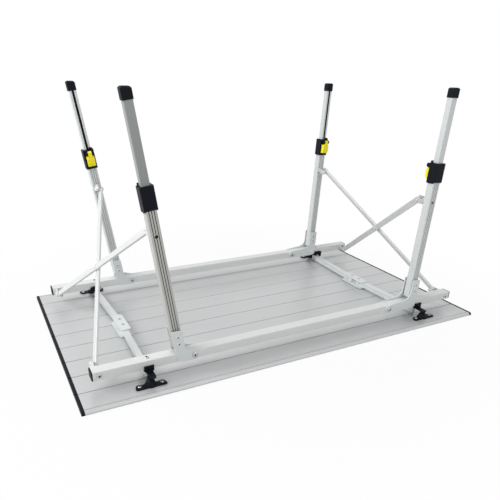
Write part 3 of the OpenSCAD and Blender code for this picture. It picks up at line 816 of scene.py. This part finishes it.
def line_tree(name: str, material: bpy.types.Material) -> NodeTree:
    """Build a tree that lays a flat strip along every edge of its input mesh.

    Args:
        name: Name of the tree.
        material: Finish of the strips.

    Returns:
        A Geometry Nodes tree with inputs for the facing, width and thickness of the strips.
    """
    tree = bpy.data.node_groups.new(name, "GeometryNodeTree")
    add_tree_sockets(
        tree,
        [
            ("Facing", "NodeSocketVector"),
            ("Width", "NodeSocketFloat"),
            ("Thickness", "NodeSocketFloat"),
        ],
    )
    nodes = tree.nodes
    start = nodes.new("NodeGroupInput")
    curve = nodes.new("GeometryNodeMeshToCurve")
    link(tree, start.outputs["Geometry"], curve.inputs["Mesh"])
    turned = nodes.new("GeometryNodeSetCurveNormal")
    turned.mode = "FREE"
    link(tree, curve.outputs["Curve"], turned.inputs["Curve"])
    link(tree, start.outputs["Facing"], turned.inputs["Normal"])
    section = nodes.new("GeometryNodeCurvePrimitiveQuadrilateral")
    link(tree, start.outputs["Thickness"], section.inputs["Width"])
    link(tree, start.outputs["Width"], section.inputs["Height"])
    swept = nodes.new("GeometryNodeCurveToMesh")
    swept.inputs["Fill Caps"].default_value = True
    link(tree, turned.outputs["Curve"], swept.inputs["Curve"])
    link(tree, section.outputs["Curve"], swept.inputs["Profile Curve"])
    finish_tree(tree, swept.outputs["Mesh"], material)
    return tree


@dataclass
class StripLayer:
    """Lays thin flat strips along straight lines of one body and makes a plain mesh of them."""

    name: str
    material: bpy.types.Material
    facing: Vec3

    def make(
        self, piece_name: str, lines: Sequence[Place], width: float, thickness: float
    ) -> bpy.types.Object:
        """Build the strips for one body.

        Args:
            piece_name: Name of the finished piece.
            lines: Start and end of each strip's middle line, in the row frame.
            width: Width of the strips across their facing.
            thickness: Thickness of the strips along their facing.

        Returns:
            A plain mesh object with no modifier.
        """
        tree = bpy.data.node_groups.get(self.name)
        if tree is None:
            tree = line_tree(self.name, self.material)
        wires = bpy.data.meshes.new(piece_name + "_lines")
        corners = [corner for pair in lines for corner in pair]
        pairs = [(2 * index, 2 * index + 1) for index in range(len(lines))]
        wires.from_pydata(corners, pairs, [])
        carrier = bpy.data.objects.new(piece_name + "_lines", wires)
        bpy.context.scene.collection.objects.link(carrier)
        modifier = carrier.modifiers.new("strips", "NODES")
        modifier.node_group = tree
        set_inputs(modifier, {"Facing": self.facing, "Width": width, "Thickness": thickness})
        piece = plain_piece(piece_name, carrier)
        bpy.data.objects.remove(carrier)
        return piece


# Sub-assemblies


@dataclass
class TopSlats:
    """The slatted top with its end caps, stud bases and their screws."""

    finishes: FinishRoom
    nodes: Dict[str, bpy.types.Object]
    slat_count: int = 9
    width: float = 0.700
    half_length: float = 0.6
    seam_levels: Tuple[float, float] = (0.0018, 0.0092)
    seam_width: float = 0.0013
    seam_depth: float = 0.0022
    stud_x: float = 0.437
    stud_y: float = 0.310
    ear_pitch: float = 0.0275
    screw_top: float = 0.0166

    def dress(self) -> None:
        """Give the slats, caps, bases and screws their finishes."""
        for name in ("slat_front", "slats_middle", "slat_rear"):
            self.finishes.dress(self.nodes[name], SLAT_METAL)
        for name in ("slat_caps_left", "slat_caps_right", "stud_bases"):
            self.finishes.dress(self.nodes[name], BLACK_PLASTIC)
        self.finishes.dress(self.nodes["base_screws"], FASTENER_ZINC)

    def add_recesses(self, repeater: Repeater) -> List[RidingPiece]:
        """Add painted shade where the drive recesses of the base screws are, as flat dark prisms.

        Args:
            repeater: Makes the small dark prisms.

        Returns:
            The new piece and the body it rides on.
        """
        places = [
            (
                (
                    side.value * self.stud_x + ear * self.ear_pitch,
                    row.value * self.stud_y,
                    self.screw_top,
                ),
                UP,
            )
            for side in Side
            for row in Row
            for ear in (-1, 1)
        ]
        return [(repeater.make("base_screw_recesses", places), "table")]

    def add_seams(self, layer: StripLayer) -> List[RidingPiece]:
        """Add the strips of painted shade that lie in the seams between the slats, on both faces.

        Args:
            layer: Lays the strips.

        Returns:
            The new piece and the body it rides on.
        """
        pitch = self.width / self.slat_count
        lines = []
        for index in range(1, self.slat_count):
            across = -self.width / 2 + index * pitch
            for level in self.seam_levels:
                left_end = (-self.half_length, across, level)
                lines.append((left_end, (self.half_length, across, level)))
        return [(layer.make("seam_lines", lines, self.seam_width, self.seam_depth), "table")]


@dataclass
class Rails:
    """The two rails with their caps, saddles and bolts."""

    finishes: FinishRoom
    nodes: Dict[str, bpy.types.Object]
    leg_head: float = 0.0029
    rail_head: float = 0.0026

    def dress(self) -> None:
        """Give the rails and what they carry their finishes."""
        for row in Row:
            self.finishes.dress(self.nodes["rail_" + row.word], RAIL_METAL)
            self.finishes.dress(self.nodes["rail_caps_" + row.word], BLACK_PLASTIC)
            self.finishes.dress(self.nodes["saddles_" + row.word], BLACK_PLASTIC)
            self.finishes.dress(self.nodes["rail_bolts_" + row.word], FASTENER_ZINC)

    def add_recesses(self, repeater: Repeater) -> List[RidingPiece]:
        """Add painted shade for the hexagon recesses of the bolts of each rail, as flat dark
        prisms.

        Args:
            repeater: Makes the small dark prisms.

        Returns:
            Each new piece and the body it rides on.
        """
        made = []
        for row, body in ((Row.REAR, "table"), (Row.FRONT, "rail_front")):
            places = []
            centre = row.value * SIZES.rail_offset
            leg_face = row.value * (SIZES.cheek_outer + self.leg_head)
            rail_face = row.value * (SIZES.rail_half_width + self.rail_head)
            rail_top = SIZES.rail_level + SIZES.rail_half_height + self.rail_head
            outward = (0.0, float(row.value), 0.0)
            inward = (0.0, -float(row.value), 0.0)
            for side in Side:
                pivot_x = side.value * SIZES.leg_pivot
                bolt_x = side.value * SIZES.brace_bolt
                places.append(((pivot_x, centre + leg_face, SIZES.rail_level), outward))
                places.append(((pivot_x, centre - leg_face, SIZES.rail_level), inward))
                places.append(((bolt_x, centre + rail_face, SIZES.rail_level), outward))
                places.append(((side.value * SIZES.bar_pivot, centre, rail_top), UP))
            made.append((repeater.make("rail_bolt_recesses_" + row.word, places), body))
        return made


@dataclass
class CrossBars:
    """The two folding cross bars with their middle hinges."""

    finishes: FinishRoom
    nodes: Dict[str, bpy.types.Object]
    rivet_x: float = 0.4210
    rivet_y: float = 0.018
    rivet_level: float = 0.0367

    def dress(self) -> None:
        """Give the bars, hinge plates and rivets their finishes."""
        for side in Side:
            for row in Row:
                self.finishes.dress(self.nodes[f"half_bar_{side.word}_{row.word}"], BAR_METAL)
            self.finishes.dress(self.nodes["hinge_plates_" + side.word], BRACKET_COAT)
            self.finishes.dress(self.nodes["hinge_rivets_" + side.word], FASTENER_ZINC)

    def add_hollows(self, repeater: Repeater) -> List[RidingPiece]:
        """Add painted shade in the hollow middles of the hinge rivets.

        Args:
            repeater: Makes the small dark prisms.

        Returns:
            Each new piece and the body it rides on.
        """
        made = []
        for side in Side:
            places = [
                ((side.value * self.rivet_x, row.value * self.rivet_y, self.rivet_level), UP)
                for row in Row
            ]
            hollows = repeater.make("hinge_rivet_hollows_" + side.word, places)
            made.append((hollows, "hinge_" + side.word))
        return made


@dataclass
class Leg:
    """One telescopic leg with its bracket, collar, lever and foot."""

    finishes: FinishRoom
    nodes: Dict[str, bpy.types.Object]
    side: Side
    row: Row
    inner_half_y: float = 0.009
    strip_half: float = 0.0030
    strip_top: float = -0.026
    strip_bottom: float = -0.262
    strip_sink: float = 0.0003
    strip_back: float = 0.0013
    strip_bevel: float = 0.0002
    groove_pitch: float = 0.0058
    groove_width: float = 0.0016
    groove_thickness: float = 0.0003
    groove_level: float = 0.0108
    left_rivet_levels: Tuple[float, float] = (0.039, 0.057)
    right_rivet_levels: Tuple[float, float] = (0.044, 0.062)
    rivet_face: float = 0.0189

    @property
    def tag(self) -> str:
        """Ending of this leg's node and body names."""
        return f"{self.side.word}_{self.row.word}"

    @property
    def shaded(self) -> bool:
        """Whether this is the leg that the photograph shows in shade."""
        return self.side is Side.LEFT and self.row is Row.FRONT

    def dress(self) -> None:
        """Give the leg's solids their finishes."""
        self.finishes.dress(self.nodes["bracket_" + self.tag], BRACKET_COAT)
        # The front-left leg takes the darker copies, with its shade painted in.
        outer = SHADED_LEG_METAL if self.shaded else LEG_METAL
        inner = SHADED_INNER_METAL if self.shaded else INNER_METAL
        self.finishes.dress(self.nodes["outer_tube_" + self.tag], outer)
        self.finishes.dress(self.nodes["inner_tube_" + self.tag], inner)
        self.finishes.dress(self.nodes["collar_" + self.tag], BLACK_PLASTIC)
        self.finishes.dress(self.nodes["foot_" + self.tag], FOOT_PLASTIC)
        self.finishes.dress(self.nodes["lever_" + self.tag], YELLOW_PLASTIC)

    def slot_strip(self) -> bpy.types.Object:
        """Build the strip of painted shade that lies in the inner tube's slot.

        Returns:
            The strip as a plain mesh.
        """
        def build(shape: bmesh.types.BMesh) -> None:
            """Fill the strip's mesh."""
            push = SIZES.push(self.row)
            front = -self.inner_half_y + self.strip_sink
            back = -self.inner_half_y + self.strip_back
            low = (-self.strip_half, front, self.strip_bottom - push)
            high = (self.strip_half, back, self.strip_top - push)
            add_box(shape, low, high, self.strip_bevel)

        return mesh_object(
            "slot_strip_" + self.tag,
            build,
            SIZES.leg_matrix(self.side, self.row),
            self.finishes.of(PAINTED_RECESS_SHADE),
        )

    def groove_lines(self, layer: StripLayer) -> bpy.types.Object:
        """Lay the strips of painted shadow in the grooves of the outer tube.

        Args:
            layer: Lays the strips.

        Returns:
            The lines as a plain mesh.
        """
        place = SIZES.leg_matrix(self.side, self.row)
        lines = []
        for face in (-1, 1):
            for step in (-1, 0, 1):
                ends = [
                    place @ Vector((step * self.groove_pitch, face * self.groove_level, -level))
                    for level in (SIZES.outer_start, SIZES.outer_end)
                ]
                lines.append((tuple(ends[0]), tuple(ends[1])))
        return layer.make(
            "groove_lines_" + self.tag, lines, self.groove_width, self.groove_thickness
        )

    def rivet_hollows(self, repeater: Repeater) -> bpy.types.Object:
        """Set painted shade in the hollow middles of the bracket rivets.

        Args:
            repeater: Makes the small dark prisms.

        Returns:
            The hollows as a plain mesh.
        """
        levels = self.left_rivet_levels if self.side is Side.LEFT else self.right_rivet_levels
        slope = math.tan(SIZES.lean(self.side))
        places = []
        for level in levels:
            out = self.side.value * (SIZES.leg_pivot + SIZES.offset(self.side) + slope * level)
            for face in (-1, 1):
                middle = self.row.value * SIZES.rail_offset + face * self.rivet_face
                centre = (out, middle, SIZES.rail_level + level)
                places.append((centre, (0.0, float(face), 0.0)))
        return repeater.make("bracket_rivet_hollows_" + self.tag, places)

    def add_pieces(self, layer: StripLayer, repeater: Repeater) -> List[RidingPiece]:
        """Build the leg's added pieces.

        Args:
            layer: Lays the groove lines.
            repeater: Sets the rivets' hollow middles.

        Returns:
            Each new piece and the body it rides on.
        """
        return [
            (self.slot_strip(), "inner_leg_" + self.tag),
            (self.groove_lines(layer), "leg_" + self.tag),
            (self.rivet_hollows(repeater), "leg_" + self.tag),
        ]


@dataclass
class Braces:
    """The scissor braces with their clevises."""

    finishes: FinishRoom
    nodes: Dict[str, bpy.types.Object]

    def dress(self) -> None:
        """Give the braces and clevises their finish."""
        for side in Side:
            for row in Row:
                tag = f"{side.word}_{row.word}"
                for kind in ("brace_", "rail_clevis_", "leg_clevis_"):
                    self.finishes.dress(self.nodes[kind + tag], BRACE_METAL)


@dataclass(frozen=True)
class Lamp:
    """One soft square lamp, with its edge in metres and its power in watts."""

    name: str
    place: Vec3
    target: Vec3
    size: float
    power: float

    def light(self) -> None:
        """Add the lamp to the scene."""
        data = bpy.data.lights.new(self.name, "AREA")
        data.shape = "SQUARE"
        data.size = self.size
        data.energy = self.power
        lamp = bpy.data.objects.new(self.name, data)
        lamp.location = self.place
        aim = Vector(self.target) - Vector(self.place)
        lamp.rotation_euler = aim.to_track_quat("-Z", "Y").to_euler()
        bpy.context.scene.collection.objects.link(lamp)


LAMPS = (
    Lamp("key_left", (-2.6, 0.1, 2.0), (0.0, 0.0, 0.2), size=1.8, power=74.0),
    Lamp("top_soft", (0.2, 0.8, 3.0), (0.0, 0.0, 0.0), size=2.4, power=14.0),
    Lamp("front_fill", (0.6, -3.0, 1.6), (0.0, 0.0, 0.2), size=2.0, power=18.0),
)


@dataclass(frozen=True)
class Studio:
    """Floor, lights and a camera near the photograph's angle.

    The camera keeps its lens shift small. So its picture stands close to the photograph's,
    with straighter legs.
    """

    azimuth_deg: float = -27.81
    elevation_deg: float = 27.00
    roll_deg: float = 1.339
    focal_px: float = 504.6
    centre_px: Tuple[float, float] = (239.4, 325.0)
    image_px: float = 500.0
    position: Vec3 = (-0.7217, -1.2927, 0.6888)
    sensor_mm: float = 36.0
    view_reach: float = 50.0
    world_strength: float = 0.40
    floor_half: float = 9.0
    floor_drop: float = 0.0005
    floor_tone: float = 0.70
    floor_roughness: float = 0.9
    fade_radii: Tuple[float, float] = (0.55, 1.1)
    fade_whites: Tuple[float, float] = (0.94, 1.0)

    def add_camera(self) -> bpy.types.Object:
        """Place the camera whose picture comes near the photograph's at a small shift.

        Returns:
            The camera object, already set as the scene's camera.
        """
        azimuth = math.radians(self.azimuth_deg)
        elevation = math.radians(self.elevation_deg)
        roll = math.radians(self.roll_deg)
        back = Vector(
            (
                math.sin(azimuth) * math.cos(elevation),
                -math.cos(azimuth) * math.cos(elevation),
                math.sin(elevation),
            )
        )
        right = Vector((math.cos(azimuth), math.sin(azimuth), 0.0))
        upward = back.cross(right)
        axis_x = math.cos(roll) * right + math.sin(roll) * upward
        axis_y = -math.sin(roll) * right + math.cos(roll) * upward
        data = bpy.data.cameras.new("photo_camera")
        data.sensor_fit = "HORIZONTAL"
        data.sensor_width = self.sensor_mm
        data.lens = self.focal_px / self.image_px * self.sensor_mm
        data.shift_x = (self.image_px / 2 - self.centre_px[0]) / self.image_px
        data.shift_y = (self.centre_px[1] - self.image_px / 2) / self.image_px
        data.clip_end = self.view_reach
        camera = bpy.data.objects.new("photo_camera", data)
        turned = Matrix((axis_x, axis_y, back)).transposed().to_4x4()
        camera.matrix_world = Matrix.Translation(self.position) @ turned
        bpy.context.scene.collection.objects.link(camera)
        bpy.context.scene.camera = camera
        return camera

    def white_seen(
        self, tree: NodeTree, shader: Socket, output: Socket, share: SocketOrValue
    ) -> None:
        """Show plain white to the camera and to reflections.

        Args:
            tree: Node tree of a world or a material.
            shader: The plain shader's output.
            output: The tree's surface input.
            share: How much of the white is shown, as a number or a socket.
        """
        path = tree.nodes.new("ShaderNodeLightPath")
        camera_ray = path.outputs["Is Camera Ray"]
        seen = math_node(tree, "MAXIMUM", camera_ray, path.outputs["Is Glossy Ray"])
        seen = math_node(tree, "MAXIMUM", seen, path.outputs["Is Transmission Ray"])
        seen = math_node(tree, "MULTIPLY", seen, share)
        in_world = tree.nodes.get("Background") is not None
        white = tree.nodes.new("ShaderNodeBackground" if in_world else "ShaderNodeEmission")
        white.inputs["Color"].default_value = WHITE
        white.inputs["Strength"].default_value = 1.0
        mix = tree.nodes.new("ShaderNodeMixShader")
        link(tree, seen, mix.inputs[0])
        link(tree, shader, mix.inputs[1])
        link(tree, white.outputs[0], mix.inputs[2])
        link(tree, mix.outputs[0], output)

    def add_world(self) -> None:
        """Light the scene evenly and show white behind it."""
        world = bpy.data.worlds.new("studio_world")
        bpy.context.scene.world = world
        world.use_nodes = True
        tree = world.node_tree
        background = tree.nodes["Background"]
        background.inputs["Color"].default_value = WHITE
        background.inputs["Strength"].default_value = self.world_strength
        surface = tree.nodes["World Output"].inputs["Surface"]
        self.white_seen(tree, background.outputs[0], surface, 1.0)

    def add_floor(self) -> None:
        """Lay a white floor that keeps the table's soft shadow."""
        shape = bmesh.new()
        bmesh.ops.create_grid(shape, x_segments=1, y_segments=1, size=self.floor_half)
        mesh = bpy.data.meshes.new("studio_floor")
        shape.to_mesh(mesh)
        shape.free()
        floor = bpy.data.objects.new("studio_floor", mesh)
        floor.location = (0.0, 0.0, -self.floor_drop)
        bpy.context.scene.collection.objects.link(floor)
        material = bpy.data.materials.new("studio_floor_white")
        material.use_nodes = True
        tree = material.node_tree
        shader = tree.nodes["Principled BSDF"]
        shader.inputs["Base Color"].default_value = (*[self.floor_tone] * 3, 1.0)
        shader.inputs["Roughness"].default_value = self.floor_roughness
        coords = tree.nodes.new("ShaderNodeTexCoord")
        reach = tree.nodes.new("ShaderNodeVectorMath")
        reach.operation = "LENGTH"
        link(tree, coords.outputs["Object"], reach.inputs[0])
        fade = tree.nodes.new("ShaderNodeMapRange")
        fade.inputs["From Min"].default_value = self.fade_radii[0]
        fade.inputs["From Max"].default_value = self.fade_radii[1]
        fade.inputs["To Min"].default_value = self.fade_whites[0]
        fade.inputs["To Max"].default_value = self.fade_whites[1]
        link(tree, reach.outputs["Value"], fade.inputs["Value"])
        surface = tree.nodes["Material Output"].inputs["Surface"]
        self.white_seen(tree, shader.outputs[0], surface, fade.outputs[0])
        mesh.materials.append(material)

    def build(self) -> None:
        """Make the camera, lamps, world and floor."""
        bpy.context.scene.view_settings.view_transform = "Standard"
        self.add_camera()
        self.add_world()
        self.add_floor()
        for lamp in LAMPS:
            lamp.light()


def ride_all(pieces: Iterable[RidingPiece]) -> None:
    """Fix each added piece to its body and report it.

    Args:
        pieces: Each piece and its body's name.
    """
    for piece, body in pieces:
        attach(piece, body)
        LOG.info("%s rides on %s, %d faces", piece.name, body, len(piece.data.polygons))


def main() -> None:
    """Build the whole scene in order."""
    logging.basicConfig(level=logging.INFO, format="%(name)s: %(message)s")
    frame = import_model()
    nodes = frame["nodes"]
    Studio().build()
    finishes = FinishRoom()
    finishes.fill()
    # Near-black painted shade for the fastener recesses, rivet hollows, slat seams and leg slots.
    dark = finishes.of(PAINTED_RECESS_SHADE)
    screw_recess = Repeater("screw_recess", dark, sides=6, radius=0.0016, height=0.0006)
    bolt_recess = Repeater("bolt_recess", dark, sides=6, radius=0.0026, height=0.0006)
    rivet_hollow = Repeater("rivet_hollow", dark, sides=20, radius=0.00175, height=0.0008)
    top = TopSlats(finishes, nodes)
    top.dress()
    ride_all(top.add_recesses(screw_recess))
    sideways = (0.0, 1.0, 0.0)
    # The seam strips carry painted shade in the gaps between the slats.
    seam_layer = StripLayer("seam_strips", dark, UP)
    # The groove strips carry painted shadow, darker on the front-left leg.
    dark_grooves = StripLayer("dark_groove_strips", finishes.of(GROOVE_SHADE), sideways)
    soft_grooves = StripLayer("soft_groove_strips", finishes.of(GROOVE_SOFT), sideways)
    ride_all(top.add_seams(seam_layer))
    rails = Rails(finishes, nodes)
    rails.dress()
    ride_all(rails.add_recesses(bolt_recess))
    bars = CrossBars(finishes, nodes)
    bars.dress()
    ride_all(bars.add_hollows(rivet_hollow))
    Braces(finishes, nodes).dress()
    for side in Side:
        for row in Row:
            leg = Leg(finishes, nodes, side, row)
            leg.dress()
            grooves = dark_grooves if leg.shaded else soft_grooves
            ride_all(leg.add_pieces(grooves, rivet_hollow))
    LOG.info("%d solids dressed", len(nodes))


if __name__ == "__main__":
    main()
